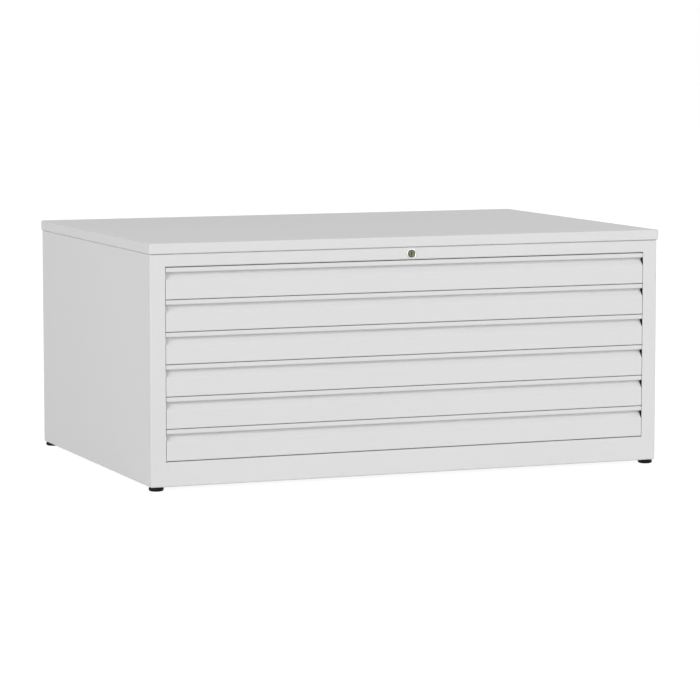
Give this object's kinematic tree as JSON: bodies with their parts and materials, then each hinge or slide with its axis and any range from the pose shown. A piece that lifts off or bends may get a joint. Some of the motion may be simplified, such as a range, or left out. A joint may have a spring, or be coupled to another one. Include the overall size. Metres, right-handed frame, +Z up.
{
  "type": "flat file cabinet",
  "caption": "Low steel flat file cabinet: wide shallow drawers with lip pulls on telescopic slides, a central lock in the top rail, a top cover and round glide feet.",
  "frame": {"origin": "on the floor, under the middle of the cabinet's box", "axes": "+X along the width, to the right as seen from the front; +Y to the rear, the drawers open towards -Y; +Z up"},
  "size_m": [1, 0.679, 0.4412],
  "materials": {
    "light_grey_paint": "fine smooth powder coat, satin",
    "zinc_plated_steel": "bright zinc plating",
    "nickel_plating": "polished nickel",
    "lock_core_metal": "turned, slightly dull",
    "black_plastic": "moulded, matt"
  },
  "bodies": {
    "cabinet": {"side_panel_left": "light_grey_paint", "side_panel_right": "light_grey_paint", "back_panel": "light_grey_paint", "bottom_panel": "light_grey_paint", "top_rail": "light_grey_paint", "bottom_rail": "light_grey_paint", "top_cover": "light_grey_paint", "foot_front_left": "black_plastic", "foot_front_right": "black_plastic", "foot_rear_left": "black_plastic", "foot_rear_right": "black_plastic", "lock_housing": "nickel_plating", "lock_nut": "zinc_plated_steel", "rod_bracket": "zinc_plated_steel", "slide_outer_left_1": "zinc_plated_steel", "slide_outer_right_1": "zinc_plated_steel", "slide_outer_left_2": "zinc_plated_steel", "slide_outer_right_2": "zinc_plated_steel", "slide_outer_left_3": "zinc_plated_steel", "slide_outer_right_3": "zinc_plated_steel", "slide_outer_left_4": "zinc_plated_steel", "slide_outer_right_4": "zinc_plated_steel", "slide_outer_left_5": "zinc_plated_steel", "slide_outer_right_5": "zinc_plated_steel", "slide_outer_left_6": "zinc_plated_steel", "slide_outer_right_6": "zinc_plated_steel"},
    "drawer_1": {"drawer_front_1": "light_grey_paint", "drawer_tray_1": "light_grey_paint", "latch_catch_1": "zinc_plated_steel"},
    "slide_carriage_1": {"slide_middle_left_1": "zinc_plated_steel", "slide_middle_right_1": "zinc_plated_steel"},
    "drawer_2": {"drawer_front_2": "light_grey_paint", "drawer_tray_2": "light_grey_paint", "latch_catch_2": "zinc_plated_steel"},
    "slide_carriage_2": {"slide_middle_left_2": "zinc_plated_steel", "slide_middle_right_2": "zinc_plated_steel"},
    "drawer_3": {"drawer_front_3": "light_grey_paint", "drawer_tray_3": "light_grey_paint", "latch_catch_3": "zinc_plated_steel"},
    "slide_carriage_3": {"slide_middle_left_3": "zinc_plated_steel", "slide_middle_right_3": "zinc_plated_steel"},
    "drawer_4": {"drawer_front_4": "light_grey_paint", "drawer_tray_4": "light_grey_paint", "latch_catch_4": "zinc_plated_steel"},
    "slide_carriage_4": {"slide_middle_left_4": "zinc_plated_steel", "slide_middle_right_4": "zinc_plated_steel"},
    "drawer_5": {"drawer_front_5": "light_grey_paint", "drawer_tray_5": "light_grey_paint", "latch_catch_5": "zinc_plated_steel"},
    "slide_carriage_5": {"slide_middle_left_5": "zinc_plated_steel", "slide_middle_right_5": "zinc_plated_steel"},
    "drawer_6": {"drawer_front_6": "light_grey_paint", "drawer_tray_6": "light_grey_paint", "latch_catch_6": "zinc_plated_steel"},
    "slide_carriage_6": {"slide_middle_left_6": "zinc_plated_steel", "slide_middle_right_6": "zinc_plated_steel"},
    "lock_shaft": {"lock_plug": "lock_core_metal", "lock_rod": "zinc_plated_steel", "lock_crank": "zinc_plated_steel"},
    "latch": {"latch_plate": "zinc_plated_steel"}
  },
  "joints": [
    {"name": "drawer_1_slide", "type": "slide", "parent": "cabinet", "child": "drawer_1", "axis": [0, -1, 0], "range_m": [0, 0.6]},
    {"name": "slide_carriage_1_slide", "type": "slide", "parent": "cabinet", "child": "slide_carriage_1", "axis": [0, -1, 0], "range_m": [0, 0.3]},
    {"name": "drawer_2_slide", "type": "slide", "parent": "cabinet", "child": "drawer_2", "axis": [0, -1, 0], "range_m": [0, 0.6]},
    {"name": "slide_carriage_2_slide", "type": "slide", "parent": "cabinet", "child": "slide_carriage_2", "axis": [0, -1, 0], "range_m": [0, 0.3]},
    {"name": "drawer_3_slide", "type": "slide", "parent": "cabinet", "child": "drawer_3", "axis": [0, -1, 0], "range_m": [0, 0.6]},
    {"name": "slide_carriage_3_slide", "type": "slide", "parent": "cabinet", "child": "slide_carriage_3", "axis": [0, -1, 0], "range_m": [0, 0.3]},
    {"name": "drawer_4_slide", "type": "slide", "parent": "cabinet", "child": "drawer_4", "axis": [0, -1, 0], "range_m": [0, 0.6]},
    {"name": "slide_carriage_4_slide", "type": "slide", "parent": "cabinet", "child": "slide_carriage_4", "axis": [0, -1, 0], "range_m": [0, 0.3]},
    {"name": "drawer_5_slide", "type": "slide", "parent": "cabinet", "child": "drawer_5", "axis": [0, -1, 0], "range_m": [0, 0.6]},
    {"name": "slide_carriage_5_slide", "type": "slide", "parent": "cabinet", "child": "slide_carriage_5", "axis": [0, -1, 0], "range_m": [0, 0.3]},
    {"name": "drawer_6_slide", "type": "slide", "parent": "cabinet", "child": "drawer_6", "axis": [0, -1, 0], "range_m": [0, 0.6]},
    {"name": "slide_carriage_6_slide", "type": "slide", "parent": "cabinet", "child": "slide_carriage_6", "axis": [0, -1, 0], "range_m": [0, 0.3]},
    {"name": "lock_turn", "type": "hinge", "parent": "cabinet", "child": "lock_shaft", "pos_m": [0, -0.336, 0.4099], "axis": [0, 1, 0], "range_deg": [0, 90]},
    {"name": "latch_slide", "type": "slide", "parent": "cabinet", "child": "latch", "axis": [-1, 0, 0], "range_m": [0, 0.01]}
  ],
  "couplings": [
    {"joint": "slide_carriage_1_slide", "follows": "drawer_1_slide", "ratio": 0.5},
    {"joint": "slide_carriage_2_slide", "follows": "drawer_2_slide", "ratio": 0.5},
    {"joint": "slide_carriage_3_slide", "follows": "drawer_3_slide", "ratio": 0.5},
    {"joint": "slide_carriage_4_slide", "follows": "drawer_4_slide", "ratio": 0.5},
    {"joint": "slide_carriage_5_slide", "follows": "drawer_5_slide", "ratio": 0.5},
    {"joint": "slide_carriage_6_slide", "follows": "drawer_6_slide", "ratio": 0.5},
    {"joint": "lock_turn", "follows": "latch_slide", "rad_per_m": 157.07}
  ]
}
